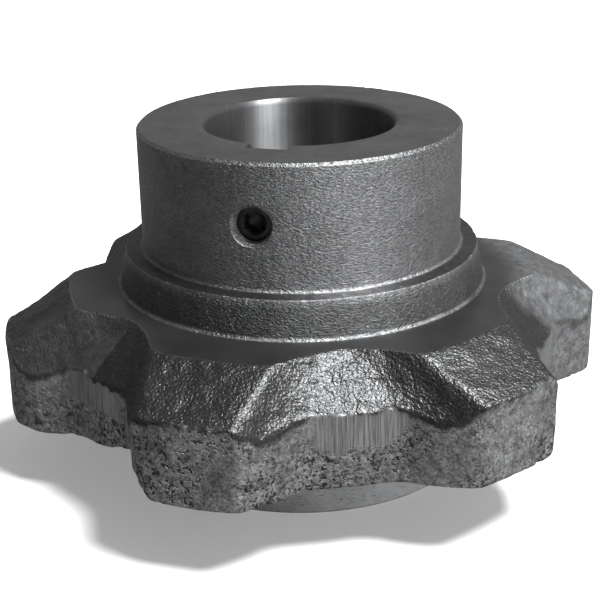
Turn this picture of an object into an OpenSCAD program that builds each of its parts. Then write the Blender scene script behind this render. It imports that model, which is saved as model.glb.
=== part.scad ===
// Six-tooth cast iron chain sprocket with a keyed hub and two socket set screws.
// Millimetres. The origin is the centre of the lower boss face, on the bore axis. +Z is
// up the bore towards the long hub. One tooth, the keyway and the first set screw face -Y.

/* [Bore and keyway] */
// Bore diameter, 1 1/2 in
bore_d = 38.1; // [30:0.1:42]
// Chamfer at both ends of the bore
bore_chamfer = 1.5; // [0.5:0.1:2]
// Keyway width, 5/16 in
key_w = 7.94; // [6:0.01:12]
// Bore axis to the bottom of the keyway
key_reach = 22.6; // [22:0.1:24]

/* [Hub] */
// Outside diameter of the long hub
hub_d = 65; // [60:0.5:68]
// Overall height, lower boss face to hub face
height = 69; // [62:0.5:80]
// Chamfer on the rim of the hub face
hub_chamfer = 0.6; // [0.2:0.1:1.5]
// Height of the collar's top above the lower boss face
collar_top_z = 44.4; // [42:0.1:46]
// Collar diameter at its top edge
collar_top_d = 72; // [70:0.5:74]
// Collar diameter where it meets the tooth ring
collar_base_d = 74.4; // [72:0.2:78]
// Diameter of the short boss below the teeth
boss_d = 72.8; // [68:0.2:76]

/* [Tooth ring] */
// Number of teeth
teeth = 6; // [6:1:6]
// Turn of the cast teeth about the bore axis, away from the keyway, degrees
teeth_turn = -4; // [-6:0.5:6]
// Tip diameter over the tooth lands
tip_d = 122; // [118:0.5:126]
// Root diameter between the teeth
root_d = 103.6; // [100:0.2:106]
// Width of the flat tip land
land_w = 19; // [16:0.5:20]
// Height of the ring's flat lower side above the lower boss face
ring_low_z = 14; // [12:0.1:16]
// Height of the ring's upper faced side
ring_top_z = 36.9; // [35:0.1:39]
// Height of the upper edge of the tip lands
land_top_z = 30.2; // [28:0.1:32]
// Diameter of the upper faced side, where the radial bevel of a tooth begins
face_d = 95; // [92:0.5:99]
// Lean of a tooth flank towards the tooth's centre line, degrees
flank_lean = 24; // [20:1:26]
// Distance of the flank plane from the bore axis
flank_reach = 36.2; // [35:0.1:37]
// Radius of the round between land and flank
corner_r = 12; // [11:0.5:13]
// Radius of the fillet between flank and root
root_fillet = 10; // [8:0.5:11]

/* [Chain valleys] */
// Where the valley floor leaves the faced side, from the bore axis
valley_start = 41.6; // [40:0.2:44]
// Slope of the valley floor, degrees
valley_slope = 40; // [34:1:46]
// Where a flank bevel leaves the faced side, from the bore axis
flank_bevel_start = 33.2; // [32:0.1:34]
// Slope of a flank bevel, degrees
flank_bevel_slope = 58; // [54:1:64]
// Turn of a flank bevel towards the tooth's centre line, degrees
flank_bevel_lean = 29; // [24:1:32]

/* [Set screws] */
// Nominal thread diameter, 5/16 in
thread_d = 7.94; // [6.5:0.01:9.5]
// Thread pitch, 18 threads to the inch
thread_pitch = 1.411; // [1:0.001:1.6]
// Radial play between the screw and its tapped hole
screw_play = 0.05; // [0.02:0.01:0.1]
// Height of the screw axes above the lower boss face
screw_z = 57; // [54:0.5:60]
// Length of the screw over the keyway, 1/4 in
key_screw_l = 6.35; // [5:0.05:6.5]
// Length of the screw at 90 degrees to the keyway, 3/8 in
shaft_screw_l = 9.525; // [8:0.005:10]
// Hexagon socket across flats, 5/32 in
hex_af = 3.97; // [3:0.01:4.2]
// Depth of the hexagon socket
hex_depth = 3.2; // [2:0.1:3.4]
// Diameter of the cup at the screw's point
cup_d = 4.2; // [3:0.1:4.6]
// Chamfer at both ends of a screw
screw_chamfer = 0.6; // [0.3:0.1:0.8]

/* [Hidden] */
$fn = 96;

iron = "#54575a";
black_steel = "#26282a";

bore_r = bore_d / 2;
hub_r = hub_d / 2;
tip_r = tip_d / 2;
root_r = root_d / 2;
tooth_pitch = 360 / teeth;
front = -90;                      // direction of the keyway, about +Z
side = 180;                       // direction of the second set screw
first_tooth = front + teeth_turn;
boss_chamfer = 0.8;
overcut = 1;                      // how far a cutting tool stands out of the metal
block = 120;                      // edge of the block that stands for a half space

// A thread is drawn plain, at its pitch diameter
screw_r = (thread_d - 0.65 * thread_pitch) / 2;

// Tooth outline, for a tooth that points along +X. The flank's outward normal leans
// flank_lean away from the tangent. A round of corner_r starts at the edge of the land and
// touches the flank; a fillet outside the root circle touches it at its other end. The fillet
// runs root_lap into the root disc, so that the two cross instead of only touching.
root_lap = 0.02;
flank_n = [sin(flank_lean), cos(flank_lean)];
land_edge = [sqrt(tip_r * tip_r - land_w * land_w / 4), land_w / 2];
round_turn = 90 - flank_lean - acos((land_edge * flank_n - flank_reach) / corner_r + 1);
round_c = land_edge - corner_r * [cos(round_turn), sin(round_turn)];
flank_out = round_c + corner_r * flank_n;
fillet_c_r = root_r - root_lap + root_fillet;
fillet_turn = 90 - flank_lean - acos((flank_reach + root_fillet) / fillet_c_r);
fillet_c = fillet_c_r * [cos(fillet_turn), sin(fillet_turn)];
flank_in = fillet_c - root_fillet * flank_n;

// Half of a tooth, on the +Y side of its centre line
module half_tooth_outline() {
    translate(round_c) circle(r = corner_r);
    polygon([[0, 0], round_c, flank_out, flank_in]);
    difference() {
        polygon([[0, 0], flank_in, fillet_c]);
        translate(fillet_c) circle(r = root_fillet);
    }
}

module tooth_outline() {
    core_w = land_w - 0.6;        // just narrower than the land, whose edges are the rounds'
    intersection() {
        circle(r = tip_r);
        union() {
            translate([0, -core_w / 2]) square([tip_r + overcut, core_w]);
            half_tooth_outline();
            mirror([0, 1]) half_tooth_outline();
        }
    }
}

// Outline of the whole ring: the root disc with its teeth
module ring_outline() {
    circle(r = root_r);
    for (i = [0:teeth - 1]) rotate(first_tooth + i * tooth_pitch) tooth_outline();
}

// Turned envelope of the ring: the faced side, then a radial bevel that falls to the land
module ring_envelope() {
    bevel_slope = (ring_top_z - land_top_z) / (tip_r - face_d / 2);
    out_r = tip_r + overcut;
    rotate_extrude()
        polygon([[0, ring_low_z - overcut], [out_r, ring_low_z - overcut],
                 [out_r, land_top_z - overcut * bevel_slope],
                 [face_d / 2, ring_top_z], [0, ring_top_z]]);
}

// Everything above a plane that crosses the ring's faced side at a distance of reach from
// the axis, in the direction turn, and falls outwards at the given slope
module above_plane(turn, reach, slope) {
    rotate([0, 0, turn]) translate([reach, 0, ring_top_z]) rotate([0, slope, 0])
        translate([-block / 2, -block / 2, 0]) cube(block);
}

// One valley: its floor and the bevels of the two flanks beside it
module valley_cut() {
    turn = 90 - flank_bevel_lean - tooth_pitch / 2;
    intersection() {
        above_plane(0, valley_start, valley_slope);
        above_plane(turn, flank_bevel_start, flank_bevel_slope);
        above_plane(-turn, flank_bevel_start, flank_bevel_slope);
    }
}

module valley_cuts() {
    for (i = [0:teeth - 1])
        rotate([0, 0, first_tooth + (i + 0.5) * tooth_pitch]) valley_cut();
}

module tooth_ring() {
    difference() {
        intersection() {
            translate([0, 0, ring_low_z])
                linear_extrude(ring_top_z - ring_low_z + overcut) ring_outline();
            ring_envelope();
        }
        valley_cuts();
    }
}

// Long hub with its collar above the ring, and the short boss below it
module hub() {
    boss_r = boss_d / 2;
    rotate_extrude()
        polygon([[0, 0], [boss_r - boss_chamfer, 0], [boss_r, boss_chamfer],
                 [boss_r, ring_low_z + overcut], [collar_base_d / 2, ring_low_z + overcut],
                 [collar_base_d / 2, ring_top_z],
                 [collar_top_d / 2, collar_top_z], [hub_r, collar_top_z],
                 [hub_r, height - hub_chamfer], [hub_r - hub_chamfer, height], [0, height]]);
}

// Bore with a chamfer at each end, and the keyway along its whole length
module bore_and_keyway() {
    translate([0, 0, -overcut]) cylinder(r = bore_r, h = height + 2 * overcut);
    rotate_extrude()
        polygon([[0, -overcut], [bore_r + bore_chamfer + overcut, -overcut],
                 [bore_r, bore_chamfer], [bore_r, height - bore_chamfer],
                 [bore_r + bore_chamfer + overcut, height + overcut], [0, height + overcut]]);
    rotate([0, 0, front]) translate([0, -key_w / 2, -overcut])
        cube([key_reach, key_w, height + 2 * overcut]);
}

// Tapped hole through the hub wall, countersunk to the thread's outside diameter
module screw_hole(turn) {
    hole_r = screw_r + screw_play;
    sink = thread_d / 2 - hole_r;
    rotate([0, 0, turn]) translate([0, 0, screw_z]) rotate([0, 90, 0]) {
        cylinder(r = hole_r, h = hub_r + overcut);
        translate([0, 0, hub_r - sink])
            cylinder(r1 = hole_r, r2 = thread_d / 2 + overcut, h = sink + overcut);
    }
}

// Cup point socket set screw, one turn short of the seat that its point clamps on
module set_screw(turn, seat_r, length) {
    driven_end = seat_r + thread_pitch + length;
    rotate([0, 0, turn]) translate([driven_end, 0, screw_z]) rotate([0, -90, 0])
        difference() {
            rotate_extrude()
                polygon([[0, 0], [screw_r - screw_chamfer, 0], [screw_r, screw_chamfer],
                         [screw_r, length - screw_chamfer],
                         [screw_r - screw_chamfer, length], [0, length]]);
            translate([0, 0, -overcut])
                cylinder(d = hex_af / cos(30), h = hex_depth + overcut, $fn = 6);
            translate([0, 0, length - cup_d / 4])
                cylinder(r1 = 0, r2 = cup_d / 2 + overcut * 2, h = cup_d / 4 + overcut);
        }
}

// ---- the separate pieces ----

module sprocket_casting() {
    color(iron) difference() {
        union() {
            tooth_ring();
            hub();
        }
        bore_and_keyway();
        screw_hole(front);
        screw_hole(side);
    }
}

module keyway_set_screw() {
    color(black_steel) set_screw(front, key_reach, key_screw_l);
}

module shaft_set_screw() {
    color(black_steel) set_screw(side, bore_r, shaft_screw_l);
}

sprocket_casting();
keyway_set_screw();
shaft_set_screw();
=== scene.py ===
"""Looks of a six-tooth cast iron chain sprocket with a keyed hub and two set screws.

Every length below is in millimetres in the row frame, and is turned into metres only where a
mesh, a light or the camera is made.
"""
import math

import bpy
import numpy as np
from mathutils import Matrix, Vector


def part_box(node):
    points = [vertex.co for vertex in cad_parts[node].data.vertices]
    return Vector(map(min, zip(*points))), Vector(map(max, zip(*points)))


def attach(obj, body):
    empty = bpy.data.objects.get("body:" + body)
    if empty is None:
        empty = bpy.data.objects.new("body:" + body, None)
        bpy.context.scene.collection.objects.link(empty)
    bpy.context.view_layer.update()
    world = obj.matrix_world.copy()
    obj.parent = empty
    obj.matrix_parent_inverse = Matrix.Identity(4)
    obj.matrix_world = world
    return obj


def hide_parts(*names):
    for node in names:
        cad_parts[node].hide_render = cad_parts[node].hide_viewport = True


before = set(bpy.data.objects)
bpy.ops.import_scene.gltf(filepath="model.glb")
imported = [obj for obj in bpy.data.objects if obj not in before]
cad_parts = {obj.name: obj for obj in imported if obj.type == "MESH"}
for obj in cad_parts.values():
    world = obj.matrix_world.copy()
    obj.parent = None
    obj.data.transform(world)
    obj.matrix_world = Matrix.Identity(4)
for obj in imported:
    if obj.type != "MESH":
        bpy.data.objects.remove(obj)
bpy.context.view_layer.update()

MM = 0.001


def node_box(node):
    """Lowest and highest corner of a CAD node, in millimetres."""
    low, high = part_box(node)
    return np.array(low) / MM, np.array(high) / MM


# ---- sizes ----
casting_low, casting_high = node_box("sprocket_casting")
key_screw_low, key_screw_high = node_box("keyway_set_screw")
shaft_screw_low, shaft_screw_high = node_box("shaft_set_screw")

HEIGHT = casting_high[2]
BORE_R = 19.05
MOUTH_R = 1.2
KEY_W = 7.94
KEY_REACH = 22.6
HUB_R = 32.5
HUB_CHAMFER = 0.6
COLLAR_TOP_Z = 44.4
COLLAR_TOP_R = 36.0
FOOT_FILLET = 0.7
FOOT_R = 38.0
BOSS_R = 36.4
BOSS_CHAMFER = 0.8

TEETH = 6
TOOTH_PITCH = math.tau / TEETH
KEY_TURN = math.radians(-90)
FIRST_TOOTH = math.radians(-94)
TIP_R = 61.4
ROOT_R = 51.8
LAND_W = 19.0
RING_LOW_Z = 14.0
RING_TOP_Z = 36.9
FACE_R = 48.4
BEVEL_SLOPE = math.tan(math.radians(27.5))
FLANK_LEAN = math.radians(24)
FLANK_REACH = 36.2
CORNER_R = 12.0
CRISP_CORNER_R = 24.0
ROOT_FILLET = 10.0
VALLEY_START = 41.6
# Outward shift of each valley's start, as castings vary. Below zero is towards the hub
VALLEY_SHIFTS = (0, 0, -3.6, -1.0, -2.6, 0)
VALLEY_SLOPE = math.tan(math.radians(40))
FLANK_BEVEL_START = 33.2
FLANK_BEVEL_SLOPE = math.tan(math.radians(58))
FLANK_BEVEL_LEAN = math.radians(29)

THREAD_PITCH = 1.411
SCREW_Z = (key_screw_low[2] + key_screw_high[2]) / 2
HEX_AF = 3.97
HEX_DEPTH = 3.2
CUP_R = 2.1

COLUMNS = 900


# ---- noise ----
def cell_value(cell, seed):
    """A repeatable number from -1 to 1 for each cell of a whole-number grid."""
    mixed = cell[..., 0] * 374761393 + cell[..., 1] * 668265263
    mixed = mixed + cell[..., 2] * 1103515245 + seed * 12345701
    mixed = (mixed ^ (mixed >> 13)) * 1274126177
    mixed = mixed ^ (mixed >> 16)
    return (mixed & 0xFFFF) / 32767.5 - 1.0


def noise(points, size, seed):
    """Smooth noise from -1 to 1, with features about size across."""
    place = points / size + seed * 7.31
    cell = np.floor(place).astype(np.int64)
    part = place - cell
    part = part * part * part * (part * (part * 6 - 15) + 10)
    total = 0.0
    for corner in np.ndindex(2, 2, 2):
        step = np.array(corner)
        weight = np.prod(np.where(step == 1, part, 1 - part), axis=-1)
        total = total + weight * cell_value(cell + step, seed)
    return total


def rough_noise(points, size, seed, octaves=3):
    """Noise with ever smaller features on top."""
    total, share = 0.0, 1.0
    for octave in range(octaves):
        total = total + share * noise(points, size / 2**octave, seed + octave)
        share *= 0.55
    return total


def smooth_step(low, high, value):
    part = np.clip((value - low) / (high - low), 0, 1)
    return part * part * (3 - 2 * part)


def soft_min(a, b, blend):
    """The lower of two heights, rounded over where they cross."""
    near = np.clip(1 - np.abs(a - b) / blend, 0, 1)
    return np.minimum(a, b) - near * near * blend / 4


def soft_max(a, b, blend):
    return -soft_min(-a, -b, blend)


# ---- tooth ring ----
def tooth_place(turn):
    """Number of the nearest tooth, and the turn from its centre line, towards +X at the front."""
    from_first = (turn - FIRST_TOOTH) / TOOTH_PITCH
    tooth = np.round(from_first)
    return tooth.astype(int) % TEETH, (from_first - tooth) * TOOTH_PITCH


def hand_shift(tooth, side, seed):
    """A small number from -1 to 1 that makes each side of each tooth its own."""
    cell = np.stack([tooth, np.sign(side).astype(int), np.zeros_like(tooth)], -1)
    return cell_value(cell, seed)


def flank_reach_at(tooth, side):
    """Distance of a flank from the bore axis. The first tooth is leaner on its left."""
    lean_side = (tooth == 0) & (side < 0)
    return FLANK_REACH + 0.3 * hand_shift(tooth, side, 5) - 1.5 * lean_side


def is_crisp(tooth, side):
    """The first tooth's right corner and the second tooth's left corner are hardly worn."""
    return ((tooth == 0) & (side > 0)) | ((tooth == 1) & (side < 0))


def outline_radius(turn):
    """Radius of the ring's outline: land, round, flank, fillet and root circle in turn."""
    tooth, side = tooth_place(turn)
    angle = np.abs(side)
    reach = flank_reach_at(tooth, side)
    corner_r = np.where(is_crisp(tooth, side), CRISP_CORNER_R, CORNER_R)
    flank_turn = math.pi / 2 - FLANK_LEAN
    normal = np.array([math.cos(flank_turn), math.sin(flank_turn)])
    edge = np.array([math.sqrt(TIP_R**2 - LAND_W**2 / 4), LAND_W / 2])
    round_turn = flank_turn - np.arccos((edge @ normal - reach) / corner_r + 1)
    round_x = edge[0] - corner_r * np.cos(round_turn)
    round_y = edge[1] - corner_r * np.sin(round_turn)
    round_end = np.arctan2(round_y + corner_r * normal[1], round_x + corner_r * normal[0])
    fillet_r = ROOT_R + ROOT_FILLET
    fillet_turn = flank_turn - np.arccos((reach + ROOT_FILLET) / fillet_r)
    fillet_x = fillet_r * np.cos(fillet_turn)
    fillet_y = fillet_r * np.sin(fillet_turn)
    fillet_start = np.arctan2(fillet_y - ROOT_FILLET * normal[1],
                              fillet_x - ROOT_FILLET * normal[0])

    along = round_x * np.cos(angle) + round_y * np.sin(angle)
    on_round = along + np.sqrt(np.maximum(along**2 - round_x**2 - round_y**2 + corner_r**2, 0))
    on_flank = reach / np.cos(angle - flank_turn)
    along = fillet_x * np.cos(angle) + fillet_y * np.sin(angle)
    on_fillet = along - np.sqrt(np.maximum(along**2 - fillet_r**2 + ROOT_FILLET**2, 0))
    radius = np.where(angle < math.atan2(edge[1], edge[0]), TIP_R, on_round)
    radius = np.where(angle > round_end, on_flank, radius)
    radius = np.where(angle > fillet_start, on_fillet, radius)
    return np.where(angle > fillet_turn, ROOT_R, radius)


def skin_top(x, y):
    """Height of the cast skin on the upper side, before that side is faced."""
    height = RING_TOP_Z - (np.hypot(x, y) - FACE_R) * BEVEL_SLOPE
    for valley, shift in enumerate(VALLEY_SHIFTS):
        centre = FIRST_TOOTH + (valley + 0.5) * TOOTH_PITCH
        lean = math.pi / 2 - FLANK_BEVEL_LEAN - TOOTH_PITCH / 2
        floor = RING_TOP_Z - (x * math.cos(centre) + y * math.sin(centre)
                              - VALLEY_START - shift) * VALLEY_SLOPE
        for bevel in (centre + lean, centre - lean):
            slant = RING_TOP_Z - (x * math.cos(bevel) + y * math.sin(bevel)
                                  - FLANK_BEVEL_START - shift / 2) * FLANK_BEVEL_SLOPE
            floor = soft_max(floor, slant, 3.5)
        height = soft_min(height, floor, 1.1)
    return height - droop(x, y)


def droop(x, y):
    """The last tooth came out of the mould hanging a little at its tip."""
    tooth, side = tooth_place(np.arctan2(y, x))
    middle = smooth_step(29, 20, np.degrees(np.abs(side)))
    return 1.5 * (tooth == TEETH - 1) * middle * smooth_step(44, 58, np.hypot(x, y))


def skin_foot(x, y):
    """Height of the flat lower side, chipped away along the first tooth's left flank."""
    tooth, side = tooth_place(np.arctan2(y, x))
    angle = np.degrees(np.abs(side))
    chipped = smooth_step(6, 10.5, angle) * smooth_step(32, 14, angle)
    chipped = chipped * (tooth == 0) * (side < 0) * smooth_step(46, 54, np.hypot(x, y))
    return RING_LOW_Z + 4.2 * chipped - droop(x, y)


# ---- the casting as a closed sheet of rows ----
def column_turns():
    """Turn of each column, with four of them moved onto the corners of the keyway."""
    turns = KEY_TURN + np.arange(COLUMNS) * math.tau / COLUMNS
    half = KEY_W / 2
    for corner in (math.asin(half / BORE_R), math.atan2(half, KEY_REACH)):
        step = round(corner * COLUMNS / math.tau)
        turns[step] = KEY_TURN + corner
        turns[-step] = KEY_TURN - corner
    return turns


def add_mouth(sheet, sign, end_z, parts):
    """Rounded rim of the bore, from its wall to an end face or back."""
    for part in parts:
        swing = part * math.pi / 2
        radius = bore_radius(sheet.turns, MOUTH_R * (1 - math.cos(swing)))
        sheet.add(radius, end_z - sign * MOUTH_R * (1 - math.sin(swing)), "turned")


def bore_radius(turns, chamfer):
    """Radius of the bore, opened out to the keyway's side walls and floor."""
    from_key = np.abs((turns - KEY_TURN + math.pi) % math.tau - math.pi)
    floor_turn = math.atan2(KEY_W / 2, KEY_REACH)
    wall = KEY_W / 2 / np.maximum(np.sin(np.clip(from_key, 0.01, math.pi / 2)), 0.01)
    slot = np.where(from_key <= floor_turn + 1e-6, KEY_REACH / np.cos(from_key), wall)
    slot = np.where(from_key < math.pi / 2, slot, 0)
    return np.maximum(BORE_R + chamfer, slot)


class Sheet:
    """Rows of points round the bore axis. The last row joins the first."""

    def __init__(self, turns):
        self.turns = turns
        self.rows = []
        self.kinds = []

    def add(self, radius, height, kind):
        shape = np.ones_like(self.turns)
        self.rows.append(np.stack([radius * shape, height * shape]))
        self.kinds.append(kind)

    def add_line(self, start, end, count, kind, bias=1.0):
        """Rows from start to just before end. Each end is a radius and a height."""
        for part in (np.arange(count) / count) ** bias:
            self.add(start[0] + (end[0] - start[0]) * part,
                     start[1] + (end[1] - start[1]) * part, kind)

    def points(self):
        rows = np.array(self.rows)
        x = rows[:, 0] * np.cos(self.turns)
        y = rows[:, 0] * np.sin(self.turns)
        return np.stack([x, y, rows[:, 1]], -1)


def add_hub(sheet):
    """From the rim of the bore over the hub's face and down to the tooth ring."""
    rim = bore_radius(sheet.turns, MOUTH_R)
    sheet.add_line((rim, HEIGHT), (HUB_R - HUB_CHAMFER, HEIGHT), 7, "turned")
    sheet.add_line((HUB_R - HUB_CHAMFER, HEIGHT), (HUB_R, HEIGHT - HUB_CHAMFER), 3, "rim")
    add_fillet(sheet, HUB_R, COLLAR_TOP_Z, 12)
    brim = 0.4
    for part in np.linspace(0, math.pi / 2, 4):
        sheet.add(COLLAR_TOP_R - brim * (1 - math.sin(part)),
                  COLLAR_TOP_Z - brim * (1 - math.cos(part)), "rim")
    sheet.add_line((COLLAR_TOP_R + 0.05, COLLAR_TOP_Z - brim - 0.2),
                   (FOOT_R - FOOT_FILLET, RING_TOP_Z + FOOT_FILLET), 8, "turned")
    add_fillet(sheet, FOOT_R - FOOT_FILLET, RING_TOP_Z, 0)


def add_fillet(sheet, radius, height, wall_rows):
    """A turned wall at radius, and the fillet at its foot."""
    top = HEIGHT - HUB_CHAMFER, height + FOOT_FILLET
    sheet.add_line((radius, top[0]), (radius, top[1]), wall_rows, "turned")
    for part in np.linspace(0, math.pi / 2, 6):
        sheet.add(radius + FOOT_FILLET * (1 - math.cos(part)),
                  height + FOOT_FILLET * (1 - math.sin(part)), "turned")


def spread(count, crowd):
    """Numbers from 0 to just under 1, closer together towards 1."""
    part = np.arange(count) / count
    return part + crowd * part * (1 - part)


def add_ring(sheet):
    """Cast teeth: upper side, outer wall and flat lower side."""
    turns = sheet.turns
    outer = outline_radius(turns)
    across = np.cos(turns), np.sin(turns)
    for part in spread(54, 0.15) + 0.002:
        radius = FOOT_R + (outer - FOOT_R) * part
        height = skin_top(radius * across[0], radius * across[1])
        sheet.add(radius, np.minimum(height, RING_TOP_Z + 0.7), "cast")
    rim = skin_top(outer * across[0], outer * across[1])
    foot = skin_foot(outer * across[0], outer * across[1])
    soft = soft_outline(outer, 3.2)
    for part in np.linspace(0, 1, 34):
        height = rim + (foot - rim) * part
        sheet.add(wall_radius(turns, outer, soft, height), height, "cast")
    for part in spread(26, 0.6)[::-1]:
        radius = BOSS_R + (outer - BOSS_R) * part
        sheet.add(radius, skin_foot(radius * across[0], radius * across[1]), "cast")


def soft_outline(outer, reach_degrees):
    """The outline with its corners worn, averaged over a few degrees either side."""
    wide = int(reach_degrees / 360 * COLUMNS)
    weights = np.hanning(2 * wide + 3)
    weights /= weights.sum()
    padded = np.concatenate([outer[-wide - 1:], outer, outer[:wide + 1]])
    return np.convolve(padded, weights, "valid")


def wall_radius(turns, outer, soft, height):
    """The wall is crisp near its upper edge and rounder below, the first tooth most of all."""
    tooth, side = tooth_place(turns)
    wear_z = np.where(tooth == 0, 24.0, 19.0) - 12.0 * ((tooth == 1) & (side < 0))
    worn = 1 - smooth_step(wear_z - 5, wear_z, height)
    return outer + (np.minimum(soft, outer + 0.1) - outer) * worn * 0.85


def add_boss_and_bore(sheet):
    """From the ring down over the short boss and back up the bore."""
    rim = bore_radius(sheet.turns, MOUTH_R)
    wall = bore_radius(sheet.turns, 0)
    sheet.add_line((BOSS_R, RING_LOW_Z - 0.1), (BOSS_R, BOSS_CHAMFER), 6, "turned")
    sheet.add_line((BOSS_R, BOSS_CHAMFER), (BOSS_R - BOSS_CHAMFER, 0), 3, "rim")
    sheet.add_line((BOSS_R - BOSS_CHAMFER, 0), (rim, 0), 5, "turned")
    steps = np.arange(6) / 6
    add_mouth(sheet, -1, 0, 1 - steps)
    sheet.add_line((wall, MOUTH_R), (wall, HEIGHT - MOUTH_R), 14, "turned")
    add_mouth(sheet, 1, HEIGHT, steps)


def smooth_rows(points, where, rounds):
    """Rounds edges that run round the part, by averaging each row with its neighbours."""
    for _ in range(rounds):
        mean = (np.roll(points, 1, 0) + 2 * points + np.roll(points, -1, 0)) / 4
        points = points + where[..., None] * (mean - points)
    return points


def smooth_columns(points, where, rounds):
    for _ in range(rounds):
        mean = (np.roll(points, 1, 1) + 2 * points + np.roll(points, -1, 1)) / 4
        points = points + where[..., None] * (mean - points)
    return points


def grid_normals(points):
    across = np.roll(points, -1, 1) - np.roll(points, 1, 1)
    down = np.roll(points, -1, 0) - np.roll(points, 1, 0)
    normal = np.cross(down, across)
    return normal / np.maximum(np.linalg.norm(normal, axis=-1, keepdims=True), 1e-9)


def radius_of(points):
    """Distance from the bore axis."""
    return np.hypot(points[..., 0], points[..., 1])


def turn_of(points):
    """Turn about the bore axis."""
    return np.arctan2(points[..., 1], points[..., 0])


def is_cast(points):
    """Where a point lies on the teeth's cast skin: clear of the facing, the collar and boss."""
    radius = radius_of(points)
    height = points[..., 2]
    upper = (height < RING_TOP_Z - 0.02) & (radius > FOOT_R + 0.05)
    lower = (height < RING_LOW_Z + 3) & (radius > BOSS_R + 0.1)
    return (upper | lower) & (height > RING_LOW_Z - 2.5) & (radius > BOSS_R + 0.1)


def rough_amount(points):
    """1 on the rough cast skin, 0 on the walls, with a ragged border along the skin's edge."""
    turn = turn_of(points)
    outer = outline_radius(turn)
    edge = skin_top(outer * np.cos(turn), outer * np.sin(turn))
    tooth, side = tooth_place(turn)
    angle = np.degrees(np.abs(side))
    lap = 0.1 + 1.0 * smooth_step(8, 13, angle) * smooth_step(22, 16, angle)
    lap = lap + 1.0 * (tooth == 0) * smooth_step(2, -9, np.degrees(side))
    border = edge - lap + 0.7 * rough_noise(points, 2.5, 31)
    on_skin = points[..., 2] - skin_top(points[..., 0], points[..., 1])
    above = smooth_step(-0.4, 0.4, points[..., 2] - border)
    rough = np.maximum(above, smooth_step(-1.0, -0.4, on_skin) * (outer - radius_of(points) > 0.8))
    return rough * is_cast(points)


def ground_amount(points):
    """1 where the roots between the teeth were dressed with a grinding wheel."""
    turn = turn_of(points)
    tooth, side = tooth_place(turn)
    angle = np.degrees(np.abs(side)) + 1.6 * noise(points, 5, 41)
    low = 21.6 + 1.2 * noise(points, 4, 42)
    patch = smooth_step(19.5, 21.5, angle) * smooth_step(-0.5, 0.5, points[..., 2] - low)
    return patch * (1 - rough_amount(points)) * is_cast(points)


def pit_amount(points):
    """How pitted the walls are: least on fresh lands, most low down and on the first tooth."""
    turn = turn_of(points)
    tooth, side = tooth_place(turn)
    low = smooth_step(26, 18, points[..., 2])
    worn = 0.4 + 0.5 * (tooth == 0) + 0.25 * (tooth == 1)
    cloud = 0.5 + 0.5 * rough_noise(points, 9, 51)
    amount = np.clip(worn + 0.7 * low, 0, 1) * smooth_step(0.15, 0.7, cloud + 0.25 * low)
    return amount * (1 - rough_amount(points)) * (1 - ground_amount(points)) * is_cast(points)


def film_and_painted_light_amount(points):
    """A dry pale film thick on the third tooth, and a thinner pale layer on the last tooth's right
    flank that is painted light.
    """
    turn = turn_of(points)
    tooth, side = tooth_place(turn)
    angle = np.degrees(side) + 3 * rough_noise(points, 9, 81)
    thick = (tooth == 2) * smooth_step(-30, -22, angle)
    # Painted light: a thinner pale layer lifts the last tooth's right flank, which the lamps leave
    # dark.
    painted_flank_light = 0.55 * (tooth == TEETH - 1) * smooth_step(4, 12, angle)
    on_ring = (points[..., 2] < RING_TOP_Z + 0.1) * smooth_step(40, 47, radius_of(points))
    return np.maximum(thick, painted_flank_light * is_cast(points)) * on_ring


def flow_points(points):
    """Points squeezed along the slant that the skin's grain follows."""
    turn = turn_of(points)
    radius = radius_of(points)
    around = turn * 50 + 0.5 * radius
    return np.stack([around / 2.0, radius, points[..., 2]], -1)


def cast_relief(points):
    """Height of the cast surface's lumps, grain and pits along its normal."""
    rough = rough_amount(points)
    pitted = pit_amount(points)
    ground = ground_amount(points)
    wave = 0.24 * rough_noise(points, 12, 1, 2)
    lumps = 0.10 * rough_noise(points, 3.2, 3, 2) * (0.4 + 0.6 * rough)
    bent = flow_points(points) + 0.5 * noise(points, 3, 8)[..., None]
    grain = 0.07 * noise(bent, 1.25, 11) + 0.05 * noise(points, 1.0, 12)
    holes = smooth_step(0.42, 0.75, noise(points, 1.7, 21)) * 0.30
    dents = smooth_step(0.35, 0.8, noise(points, 3.4, 22)) * 0.25
    flat = 1 - 0.85 * ground
    return (wave + lumps) * flat + grain * rough - (holes + dents) * pitted - 0.15 * ground


def nicked(points, kinds):
    """Small nicks and wear on the turned rims."""
    rim = np.array([kind == "rim" for kind in kinds])[:, None]
    bite = smooth_step(0.5, 0.9, noise(points, 2.1, 61)) * 0.10
    bite = bite + 0.02 * rough_noise(points, 0.9, 62)
    radius = radius_of(points)
    scale = 1 - rim * bite / radius
    points = points * np.stack([scale, scale, np.ones_like(scale)], -1)
    points[..., 2] -= rim * bite * 0.6 * (points[..., 2] > RING_TOP_Z)
    points[..., 2] += rim * np.abs(bite) * 0.6 * (points[..., 2] < 2)
    return points


def casting_points():
    """The whole surface of the casting, before its two tapped holes."""
    sheet = Sheet(column_turns())
    add_hub(sheet)
    add_ring(sheet)
    add_boss_and_bore(sheet)
    points = sheet.points()
    cast_rows = np.array([kind == "cast" for kind in sheet.kinds])[:, None]
    radius = radius_of(points)
    outside = smooth_step(FOOT_R + 0.5, FOOT_R + 2.0, radius) * cast_rows
    low_edge = smooth_step(RING_LOW_Z + 4, RING_LOW_Z + 1, points[..., 2])
    points = smooth_rows(points, outside, 1)
    points = smooth_rows(points, outside * low_edge, 3)
    points = smooth_columns(points, outside * 0.6, 1)
    normal = grid_normals(points)
    points = points + normal * (cast_relief(points) * outside)[..., None]
    faced = cast_rows & (points[..., 2] > RING_TOP_Z)
    points[..., 2] = np.where(faced, RING_TOP_Z, points[..., 2])
    points = nicked(points, sheet.kinds)
    return np.clip(points, casting_low, casting_high)


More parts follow.
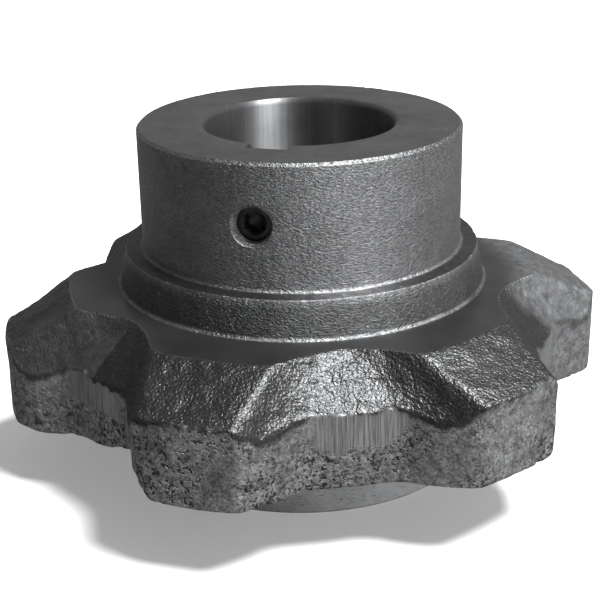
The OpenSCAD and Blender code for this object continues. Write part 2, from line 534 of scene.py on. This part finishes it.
# ---- meshes ----
def mesh_object(name, points, faces):
    """An object from points in millimetres and rows of corner numbers."""
    mesh = bpy.data.meshes.new(name)
    mesh.from_pydata((points * MM).tolist(), [], faces)
    mesh.update()
    piece = bpy.data.objects.new(name, mesh)
    bpy.context.scene.collection.objects.link(piece)
    return piece


def grid_faces(rows, columns, closed):
    """Four-cornered faces of a grid whose columns join up, and its rows too if closed."""
    down = np.arange(rows if closed else rows - 1)[:, None]
    across = np.arange(columns)[None, :]
    below, beside = (down + 1) % rows, (across + 1) % columns
    corners = [down * columns + across, below * columns + across,
               below * columns + beside, down * columns + beside]
    return np.stack([np.broadcast_to(c, (len(down), columns)) for c in corners], -1).reshape(-1, 4)


def lathe(name, stations, radius_at, sides):
    """A closed body along +X: at each station the radius may change with the turn."""
    turns = np.arange(sides) * math.tau / sides
    rows = []
    for station in stations:
        radius = radius_at(station, turns)
        rows.append(np.stack([np.full(sides, station), radius * np.cos(turns),
                              radius * np.sin(turns)], -1))
    points = np.concatenate(rows)
    ends = np.array([[stations[0], 0, 0], [stations[-1], 0, 0]])
    faces = grid_faces(len(stations), sides, False)[:, ::-1].tolist()
    first, last = len(points), len(points) + 1
    top = (len(stations) - 1) * sides
    for side in range(sides):
        beside = (side + 1) % sides
        faces.append([first, beside, side])
        faces.append([last, top + side, top + beside])
    return mesh_object(name, np.concatenate([points, ends]), faces)


def thread_radius(along, turns, root, crest):
    """Radius of a 60 degree thread whose crests climb one pitch a turn."""
    phase = (along / THREAD_PITCH - turns / math.tau) % 1.0
    ridge = 1 - np.abs(2 * phase - 1)
    return root + (crest - root) * np.clip(1.25 * ridge - 0.12, 0, 1)


def turned_to(piece, turn):
    """Turns a body made along +X to face turn, at the height of the set screws."""
    place = Matrix.Translation((0, 0, SCREW_Z * MM)) @ Matrix.Rotation(turn, 4, "Z")
    piece.data.transform(place)
    return piece


def combine(piece, cutter, operation):
    """Applies one boolean and removes the cutter."""
    step = piece.modifiers.new("cut", "BOOLEAN")
    step.operation = operation
    step.solver = "MANIFOLD"
    step.object = cutter
    graph = bpy.context.evaluated_depsgraph_get()
    mesh = bpy.data.meshes.new_from_object(piece.evaluated_get(graph))
    piece.modifiers.clear()
    old = piece.data
    piece.data = mesh
    mesh.name = piece.name
    mesh.materials.clear()
    bpy.data.meshes.remove(old)
    used = cutter.data
    bpy.data.objects.remove(cutter)
    bpy.data.meshes.remove(used)


def hole_cutter(turn):
    """Tapped hole through the hub wall with a countersunk mouth, cut a little unevenly."""
    mouth_r, mouth_depth = 4.25, 0.45

    def radius_at(along, turns):
        thread = thread_radius(along, turns, 3.36, 4.0)
        uneven = 0.12 * np.sin(turns * 2 + 1.1) + 0.05 * np.sin(turns * 5)
        sink = mouth_r + uneven + (along - HUB_R) * 0.9
        return np.where(along > HUB_R - mouth_depth, np.maximum(thread, sink), thread)

    stations = np.arange(BORE_R - 4, HUB_R + 1.2, THREAD_PITCH / 8)
    return turned_to(lathe("hole_cutter", stations, radius_at, 72), turn)


def hex_cutter(driven_end):
    """Hexagon socket with a drill point at its foot and a broken edge at its mouth."""
    corner = HEX_AF / 2 / math.cos(math.pi / 6)

    def radius_at(along, turns):
        wave = (turns + math.pi / 6) % (math.pi / 3) - math.pi / 6
        flat = HEX_AF / 2 / np.cos(wave)
        foot = driven_end - HEX_DEPTH
        drill = np.full_like(turns, max(0.02, (along - foot + 0.8) * 2.2))
        mouth = np.full_like(turns, corner + along - driven_end + 0.15)
        return np.maximum(np.minimum(flat, drill), mouth * (along > driven_end - 0.5))

    foot = driven_end - HEX_DEPTH
    stations = [foot - 0.8, foot - 0.4, foot, foot + 0.25, driven_end - 0.5,
                driven_end - 0.35, driven_end - 0.15, driven_end + 0.6]
    return lathe("hex_cutter", stations, radius_at, 72)


def set_screw(name, body, turn, length, driven_end):
    """Cup point socket set screw with a rolled thread, along its own hole."""
    chamfer = 0.75
    point = driven_end - length

    def radius_at(along, turns):
        thread = thread_radius(along, turns, 3.14, 3.88)
        from_end = min(along - point, driven_end - along)
        return np.minimum(thread, 3.88 - chamfer + from_end)

    def cup_at(along, turns):
        return np.full_like(turns, max(0.02, CUP_R - (along - point) * 1.6))

    stations = np.linspace(point, driven_end, round(length / THREAD_PITCH * 10) + 1)
    piece = lathe(name, stations, radius_at, 96)
    combine(piece, hex_cutter(driven_end), "DIFFERENCE")
    cup_stations = [point - 0.5, point, point + CUP_R / 1.6]
    combine(piece, lathe("cup_cutter", cup_stations, cup_at, 96), "DIFFERENCE")
    turned_to(piece, turn)
    mark_edges(piece.data, np.zeros(len(piece.data.vertices), bool))
    piece.data.materials.append(black_steel())
    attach(piece, body)
    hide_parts(name)
    return piece


def vertex_points(mesh):
    flat = np.empty(len(mesh.vertices) * 3)
    mesh.vertices.foreach_get("co", flat)
    return flat.reshape(-1, 3) / MM


def mark_edges(mesh, soft):
    """Smooth shading with sharp machined edges, but none where both ends are soft."""
    mesh.shade_smooth()
    mesh.set_sharp_from_angle(angle=math.radians(28))
    sharp = mesh.attributes.get("sharp_edge")
    if sharp is None:
        return
    ends = np.empty(len(mesh.edges) * 2, dtype=np.int32)
    mesh.edges.foreach_get("vertices", ends)
    ends = ends.reshape(-1, 2)
    flags = np.empty(len(mesh.edges), dtype=bool)
    sharp.data.foreach_get("value", flags)
    flags &= ~(soft[ends[:, 0]] & soft[ends[:, 1]])
    sharp.data.foreach_set("value", flags)


def paint(mesh, name, values):
    layer = mesh.attributes.new(name, "FLOAT", "POINT")
    layer.data.foreach_set("value", values.astype(np.float32))


def rim_wear_and_highlight(points):
    """1 along the turned rims, for wear and a painted highlight, and in the fillets at the feet of
    hub and collar, for a painted highlight, unevenly.
    """
    radius = radius_of(points)
    height = points[..., 2]
    collar_foot = FOOT_R - 0.7 * FOOT_FILLET
    # The last two are the fillets at the feet of hub and collar, where the highlight is painted.
    rims = ((HUB_R, HEIGHT, 0.7), (COLLAR_TOP_R, COLLAR_TOP_Z, 0.15), (BOSS_R, 0, 0.5),
            (HUB_R + 0.2, COLLAR_TOP_Z + 0.2, 1.0), (collar_foot, RING_TOP_Z + 0.2, 1.0))
    wear_and_highlight = 0.0
    for rim_r, rim_z, strength in rims:
        away = np.hypot(radius - rim_r, height - rim_z)
        wear_and_highlight = np.maximum(wear_and_highlight, strength * smooth_step(0.6, 0.2, away))
    return wear_and_highlight * (0.6 + 0.4 * noise(points, 1.2, 71))


def sprocket_casting():
    """The iron casting in one closed surface, with its two threaded holes."""
    points = casting_points()
    rows, columns = points.shape[:2]
    faces = grid_faces(rows, columns, True).tolist()
    piece = mesh_object("iron_casting", points.reshape(-1, 3), faces)
    for turn in (KEY_TURN, math.pi):
        combine(piece, hole_cutter(turn), "DIFFERENCE")
    mesh = piece.data
    points = vertex_points(mesh)
    mark_edges(mesh, is_cast(points))
    paint(mesh, "rough_skin", rough_amount(points))
    paint(mesh, "ground", ground_amount(points))
    paint(mesh, "pitted", pit_amount(points))
    paint(mesh, "cast", is_cast(points).astype(float))
    paint(mesh, "film_and_painted_light", film_and_painted_light_amount(points))
    paint(mesh, "rim_wear_and_highlight", rim_wear_and_highlight(points))
    mesh.materials.append(cast_iron())
    mesh.materials.append(turned_iron("turned_iron", 0.20, 0.78, 1.0))
    mesh.materials.append(bored_iron())
    mesh.materials.append(turned_iron("end_face_iron", 0.115, 0.0, 0.06))
    mesh.polygons.foreach_set("material_index", material_numbers(mesh, points))
    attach(piece, "casting")
    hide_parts("sprocket_casting")
    return piece


def material_numbers(mesh, points):
    """0 for the tooth ring, 1 for the turned hub and boss, 2 for the bore, keyway and threads,
    3 for the two end faces."""
    centres = np.empty(len(mesh.polygons) * 3)
    mesh.polygons.foreach_get("center", centres)
    centres = centres.reshape(-1, 3) / MM
    radius = np.hypot(centres[:, 0], centres[:, 1])
    in_ring = (centres[:, 2] < RING_TOP_Z + 0.01) & (centres[:, 2] > RING_LOW_Z - 2.5)
    in_ring &= radius > BOSS_R + 0.1
    rim_r = BORE_R + MOUTH_R
    end_face = (centres[:, 2] < 0.05) | (centres[:, 2] > HEIGHT - 0.05)
    inside = (radius < rim_r + 0.01) & ~end_face
    inside |= (radius < HUB_R - 1.0) & (centres[:, 2] < HEIGHT - 0.2) & (centres[:, 2] > 0.2)
    number = np.where(in_ring, 0, np.where(inside, 2, 1))
    return np.where(end_face, 3, number).astype(np.int32)


# ---- materials ----
class Shader:
    """A node material with short ways to add nodes. Lengths in it are millimetres."""

    def __init__(self, name):
        self.material = bpy.data.materials.new(name)
        self.material.use_nodes = True
        self.tree = self.material.node_tree
        self.surface = self.tree.nodes["Principled BSDF"]
        coordinates = self.tree.nodes.new("ShaderNodeTexCoord")
        scale = self.node("ShaderNodeVectorMath", coordinates.outputs["Object"],
                          operation="SCALE")
        scale.inputs["Scale"].default_value = 1 / MM
        self.place = scale.outputs[0]

    def node(self, kind, *values, **settings):
        made = self.tree.nodes.new(kind)
        for name, value in settings.items():
            setattr(made, name, value)
        for socket, value in zip(made.inputs, values, strict=False):
            self.put(socket, value)
        return made

    def put(self, socket, value):
        if value is None:
            return
        if isinstance(value, bpy.types.NodeSocket):
            self.tree.links.new(value, socket)
        else:
            socket.default_value = value

    def math(self, operation, *values):
        return self.node("ShaderNodeMath", *values, operation=operation).outputs[0]

    def stretched(self, x, y, z):
        """The place in millimetres, times a factor along each axis."""
        made = self.node("ShaderNodeVectorMath", self.place, (x, y, z), operation="MULTIPLY")
        return made.outputs[0]

    def radius(self):
        flat = self.stretched(1, 1, 0)
        return self.node("ShaderNodeVectorMath", flat, operation="LENGTH").outputs["Value"]

    def rings(self, per_mm, wobble):
        """Noise in rings round the bore axis, as a facing tool leaves them."""
        parts = self.node("ShaderNodeSeparateXYZ", self.stretched(wobble, wobble, wobble))
        around = self.math("MULTIPLY", self.radius(), per_mm)
        joined = self.node("ShaderNodeCombineXYZ", around, parts.outputs[0], parts.outputs[1])
        return self.noise(joined.outputs[0], 1.0, 2)

    def noise(self, vector, scale, detail=3, rough=0.55, warp=0.0):
        made = self.tree.nodes.new("ShaderNodeTexNoise")
        self.put(made.inputs["Vector"], vector)
        made.inputs["Scale"].default_value = scale
        made.inputs["Detail"].default_value = detail
        made.inputs["Roughness"].default_value = rough
        made.inputs["Distortion"].default_value = warp
        return made.outputs[0]

    def cells(self, vector, scale):
        made = self.tree.nodes.new("ShaderNodeTexVoronoi")
        self.put(made.inputs["Vector"], vector)
        made.inputs["Scale"].default_value = scale
        return made.outputs["Distance"]

    def painted(self, name):
        made = self.tree.nodes.new("ShaderNodeAttribute")
        made.attribute_name = name
        return made.outputs["Fac"]

    def range(self, value, low, high, to_low=0.0, to_high=1.0):
        made = self.tree.nodes.new("ShaderNodeMapRange")
        for socket, number in zip(made.inputs, (value, low, high, to_low, to_high), strict=False):
            self.put(socket, number)
        return made.outputs[0]

    def mix(self, amount, a, b):
        """From a to b, both grey levels or sockets."""
        made = self.tree.nodes.new("ShaderNodeMix")
        self.put(made.inputs[0], amount)
        self.put(made.inputs[2], a)
        self.put(made.inputs[3], b)
        return made.outputs[0]

    def grey(self, value):
        """Cool iron grey of a given depth."""
        tint = self.tree.nodes.new("ShaderNodeCombineColor")
        self.put(tint.inputs[0], self.math("MULTIPLY", value, 0.985))
        self.put(tint.inputs[1], value)
        self.put(tint.inputs[2], self.math("MULTIPLY", value, 1.02))
        return tint.outputs[0]

    def bump(self, height):
        """height is in millimetres."""
        made = self.tree.nodes.new("ShaderNodeBump")
        made.inputs["Distance"].default_value = MM
        self.put(made.inputs["Height"], height)
        return made.outputs[0]

    def brush(self, amount):
        """Stretches the gloss across turned lines, which run round the bore axis."""
        tangent = self.tree.nodes.new("ShaderNodeTangent")
        tangent.direction_type = "RADIAL"
        tangent.axis = "Z"
        self.put(self.surface.inputs["Tangent"], tangent.outputs[0])
        self.surface.inputs["Anisotropic"].default_value = amount
        self.surface.inputs["Anisotropic Rotation"].default_value = 0.25

    def finish(self, colour, roughness, height, metallic):
        self.put(self.surface.inputs["Base Color"], self.grey(colour))
        self.put(self.surface.inputs["Roughness"], roughness)
        self.put(self.surface.inputs["Normal"], self.bump(height))
        self.put(self.surface.inputs["Metallic"], metallic)
        return self.material


def cast_iron():
    """Sand-cast skin, pitted walls, ground roots and a dark faced side."""
    s = Shader("cast_iron")
    rough, ground = s.painted("rough_skin"), s.painted("ground")
    pitted, cast, film_and_painted_light = s.painted("pitted"), s.painted("cast"), s.painted("film_and_painted_light")
    cloud = s.noise(s.place, 0.12, 3)
    blotch = s.noise(s.place, 0.55, 4, 0.65)
    fine = s.noise(s.place, 2.0, 3, 0.6)
    worms = s.noise(s.place, 1.9, 1, 0.5, 0.4)
    specks = s.noise(s.place, 4.5, 2)
    pits = s.range(s.noise(s.place, 1.3, 3, 0.65), 0.51, 0.60)
    small_pits = s.range(s.cells(s.place, 0.9), 0.24, 0.12)
    marks = s.noise(s.stretched(2.6, 2.6, 0.1), 1.0, 3, 0.6)
    rings = s.rings(4.0, 0.05)

    wall = s.range(fine, 0.3, 0.7, 0.09, 0.31)
    wall = s.math("MULTIPLY", wall, s.range(cloud, 0.3, 0.7, 0.8, 1.2))
    wall = s.math("MULTIPLY", wall, s.range(blotch, 0.32, 0.66, 0.5, 1.4))
    wall = s.mix(s.math("MULTIPLY", pits, pitted), wall, 0.025)
    wall = s.mix(s.math("MULTIPLY", small_pits, 0.7), wall, 0.03)
    skin = s.range(fine, 0.35, 0.65, 0.035, 0.07)
    dressed = s.range(marks, 0.32, 0.68, 0.09, 0.32)
    faced = s.range(cloud, 0.3, 0.7, 0.045, 0.065)
    colour = s.mix(rough, wall, skin)
    colour = s.mix(ground, colour, dressed)
    colour = s.mix(cast, faced, colour)
    # Paler where the film lies, and painted light on the last tooth's right flank.
    colour = s.mix(s.math("MULTIPLY", film_and_painted_light, 0.7), colour, s.range(blotch, 0.3, 0.7, 0.10, 0.26))

    roughness = s.mix(rough, s.range(specks, 0.3, 0.7, 0.38, 0.55), 0.38)
    roughness = s.mix(ground, roughness, 0.38)
    roughness = s.mix(cast, 0.30, roughness)
    roughness = s.mix(film_and_painted_light, roughness, 0.55)

    skin_relief = s.math("ADD", s.math("MULTIPLY", worms, 0.20), s.math("MULTIPLY", fine, 0.06))
    skin_relief = s.math("MULTIPLY", skin_relief, rough)
    wall_relief = s.math("MULTIPLY", fine, 0.10)
    wall_relief = s.math("SUBTRACT", wall_relief, s.math("MULTIPLY", pits, s.math(
        "MULTIPLY", pitted, 0.20)))
    wall_relief = s.mix(rough, wall_relief, 0.0)
    marks_relief = s.math("MULTIPLY", s.math("MULTIPLY", marks, 0.10), ground)
    relief = s.math("ADD", s.math("ADD", skin_relief, wall_relief), marks_relief)
    relief = s.math("MULTIPLY", relief, s.mix(s.math("POWER", film_and_painted_light, 2.0), 1.0, 0.35))
    relief = s.mix(cast, s.math("MULTIPLY", rings, 0.008), relief)
    return s.finish(colour, roughness, relief, s.mix(rough, 0.75, 0.88))


def turned_iron(name, bright, brushed, grained):
    """Hub, collar and boss: fine turned lines, open grain, bright worn rims with a painted
    highlight, a painted highlight in the fillets, painted shade on the collar and its ledge and
    painted light on the boss.
    The end faces use it with hardly any grain."""
    s = Shader(name)
    wear_and_highlight = s.painted("rim_wear_and_highlight")
    cloud = s.noise(s.place, 0.09, 3)
    smear = s.noise(s.place, 0.3, 3, 0.6)
    lines = s.noise(s.stretched(0.06, 0.06, 4.2), 1.0, 3, 0.6)
    rings = s.rings(3.5, 0.04)
    grain = s.noise(s.stretched(1.5, 1.5, 2.8), 1.0, 3, 0.6)
    torn = s.range(s.noise(s.stretched(1.1, 1.1, 2.8), 1.0, 3, 0.7), 0.57, 0.66)
    bared = s.range(s.cells(s.place, 0.42), 0.11, 0.05)
    height = s.node("ShaderNodeSeparateXYZ", s.place).outputs[2]
    ledge = s.math("COMPARE", height, COLLAR_TOP_Z, 0.1)
    level = s.range(cloud, 0.3, 0.7, bright * 0.85, bright * 1.15)
    level = s.math("MULTIPLY", level, s.range(smear, 0.3, 0.7, 0.9, 1.1))
    # Painted shade: the colour is halved below the collar's top, which darkens the collar wall.
    level = s.math("MULTIPLY", level, s.range(height, COLLAR_TOP_Z - 2, COLLAR_TOP_Z, 0.5, 1))
    # Painted light: below the ring, on the boss and the lower end face, the colour is made four
    # times brighter in place of the pale floor's reflection, which the metal doesn't see.
    boss = s.range(height, RING_LOW_Z, RING_LOW_Z - 5)
    level = s.math("MULTIPLY", level, s.mix(boss, 1.0, 4.0))
    # Painted shade: the ledge on top of the collar is darkened to about a third.
    level = s.math("MULTIPLY", level, s.mix(ledge, 1.0, 0.32))
    fleck = s.range(grain, 0.35, 0.65, 1 - 0.28 * grained, 1 + 0.28 * grained)
    level = s.math("MULTIPLY", level, s.mix(boss, fleck, 1.0))
    level = s.mix(s.math("MULTIPLY", torn, 0.6 * grained), level, 0.03)
    level = s.mix(s.math("MULTIPLY", bared, 0.5 * grained), level, 0.5)
    # Painted highlight with some wear: paler and glossier along the rims and in the fillets.
    level = s.mix(wear_and_highlight, level, 0.30)
    roughness = s.mix(wear_and_highlight, s.range(grain, 0.3, 0.7, 0.38, 0.50), 0.40)
    relief = s.math("MULTIPLY", grain, 0.30 * grained)
    relief = s.math("ADD", relief, s.math("MULTIPLY", lines, 0.02))
    relief = s.math("ADD", relief, s.math("MULTIPLY", rings, 0.004))
    relief = s.math("SUBTRACT", relief, s.math("MULTIPLY", torn, 0.06 * grained))
    relief = s.mix(s.math("MULTIPLY", s.math("ADD", ledge, boss), 0.8), relief, 0.0)
    s.brush(brushed)
    return s.finish(level, roughness, relief, 0.88)


def bored_iron():
    """Bore and keyway: smooth, with faint lines round and along the bore."""
    s = Shader("bored_iron")
    cloud = s.noise(s.place, 0.15, 3)
    lines = s.noise(s.stretched(0.05, 0.05, 3.0), 1.0, 3, 0.6)
    streaks = s.noise(s.stretched(1.6, 1.6, 0.05), 1.0, 2)
    level = s.range(cloud, 0.3, 0.7, 0.17, 0.21)
    level = s.math("MULTIPLY", level, s.range(streaks, 0.3, 0.7, 0.9, 1.1))
    roughness = s.range(lines, 0.3, 0.7, 0.46, 0.54)
    relief = s.math("ADD", s.math("MULTIPLY", lines, 0.004), s.math("MULTIPLY", streaks, 0.01))
    s.brush(0.96)
    return s.finish(level, roughness, relief, 0.9)


def black_steel():
    """Black oxide on the set screws, a little bared and oily."""
    s = Shader("black_steel")
    cloud = s.noise(s.place, 0.8, 3)
    fine = s.noise(s.place, 5.0, 3)
    level = s.range(cloud, 0.35, 0.75, 0.02, 0.05)
    roughness = s.range(fine, 0.3, 0.7, 0.28, 0.42)
    return s.finish(level, roughness, s.math("MULTIPLY", fine, 0.008), 0.6)


# ---- stage, light and camera ----
CAMERA_AZIMUTH = math.radians(16.35)
CAMERA_DISTANCE = 265.84
CAMERA_HEIGHT = 134.59
CAMERA_ROLL = math.radians(-1.08)
TARGET = Vector((-0.50, -0.15, 30.36))
LENS = 81.62

# Azimuth right of the camera, elevation and strength of each card
CARDS = ((54, -20, 0.46), (100, 25, 0.22), (175, 22, 0.10))
ROOM_LEVEL = 0.11
FLOOR_HALF = 9000.0
FLOOR_GLOW = 0.25


def around_camera(azimuth, elevation, distance):
    """A place seen from the part at an azimuth right of the camera, in degrees."""
    turn = CAMERA_AZIMUTH + math.radians(azimuth)
    rise = math.radians(elevation)
    flat = distance * math.cos(rise)
    return Vector((flat * math.sin(turn), -flat * math.cos(turn), distance * math.sin(rise)))


def pale_floor():
    """A faintly glowing floor, which keeps the shadow soft. The metal doesn't mirror it."""
    half = FLOOR_HALF
    corners = np.array([[-half, -half, 0], [half, -half, 0], [half, half, 0], [-half, half, 0]])
    floor = mesh_object("floor", corners, [[0, 1, 2, 3]])
    material = bpy.data.materials.new("pale_floor")
    material.use_nodes = True
    surface = material.node_tree.nodes["Principled BSDF"]
    surface.inputs["Base Color"].default_value = (0.86, 0.86, 0.86, 1)
    surface.inputs["Roughness"].default_value = 0.9
    surface.inputs["Specular IOR Level"].default_value = 0.2
    surface.inputs["Emission Color"].default_value = (1, 1, 1, 1)
    surface.inputs["Emission Strength"].default_value = FLOOR_GLOW
    floor.data.materials.append(material)
    floor.visible_glossy = False


def area_light(name, place, target, size, power):
    light = bpy.data.lights.new(name, "AREA")
    light.shape = "DISK"
    light.size = size * MM
    light.energy = power
    lamp = bpy.data.objects.new(name, light)
    bpy.context.scene.collection.objects.link(lamp)
    towards = target - place
    lamp.matrix_world = (Matrix.Translation(place * MM)
                         @ towards.to_track_quat("-Z", "Y").to_matrix().to_4x4())


def studio_light():
    middle = Vector((0, 0, HEIGHT / 2))
    area_light("key", middle + around_camera(62, 64, 2500), middle, 850, 155)
    studio_surround()


def studio_surround():
    """Dim room with soft white cards: low on the right, on the right, and behind
    the part."""
    world = bpy.data.worlds.new("studio")
    bpy.context.scene.world = world
    world.use_nodes = True
    tree = world.node_tree
    place = tree.nodes.new("ShaderNodeTexCoord")
    total = None
    for azimuth, elevation, strength in CARDS:
        towards = tree.nodes.new("ShaderNodeVectorMath")
        towards.operation = "DOT_PRODUCT"
        towards.inputs[1].default_value = around_camera(azimuth, elevation, 1)
        level = tree.nodes.new("ShaderNodeMapRange")
        level.interpolation_type = "SMOOTHSTEP"
        level.inputs["To Max"].default_value = strength
        tree.links.new(place.outputs["Generated"], towards.inputs[0])
        tree.links.new(towards.outputs["Value"], level.inputs["Value"])
        joined = tree.nodes.new("ShaderNodeMath")
        joined.inputs[1].default_value = ROOM_LEVEL
        tree.links.new(level.outputs["Result"], joined.inputs[0])
        if total:
            tree.links.new(total.outputs[0], joined.inputs[1])
        total = joined
    tree.links.new(total.outputs[0], tree.nodes["Background"].inputs["Strength"])
    tree.nodes["Background"].inputs["Color"].default_value = (1, 1, 1, 1)


def camera():
    data = bpy.data.cameras.new("camera")
    data.lens = LENS
    data.sensor_width = 36
    data.clip_start = 0.01
    data.clip_end = 20
    item = bpy.data.objects.new("camera", data)
    bpy.context.scene.collection.objects.link(item)
    place = Vector((CAMERA_DISTANCE * math.sin(CAMERA_AZIMUTH),
                    -CAMERA_DISTANCE * math.cos(CAMERA_AZIMUTH), CAMERA_HEIGHT))
    ahead = (TARGET - place).normalized()
    level_right = ahead.cross(Vector((0, 0, 1))).normalized()
    level_up = level_right.cross(ahead)
    right = math.cos(CAMERA_ROLL) * level_right + math.sin(CAMERA_ROLL) * level_up
    above = -math.sin(CAMERA_ROLL) * level_right + math.cos(CAMERA_ROLL) * level_up
    axes = Matrix((right, above, -ahead)).transposed().to_4x4()
    item.matrix_world = Matrix.Translation(place * MM) @ axes
    bpy.context.scene.camera = item


def screws():
    """Each screw keeps the place and length of its CAD node."""
    key_end = -key_screw_low[1]
    key_length = key_screw_high[1] - key_screw_low[1]
    set_screw("keyway_set_screw", "keyway_screw", KEY_TURN, key_length, key_end)
    shaft_end = -shaft_screw_low[0]
    shaft_length = shaft_screw_high[0] - shaft_screw_low[0]
    set_screw("shaft_set_screw", "shaft_screw", math.pi, shaft_length, shaft_end)


camera()
studio_light()
pale_floor()
sprocket_casting()
screws()
bpy.context.scene.view_settings.view_transform = "Standard"
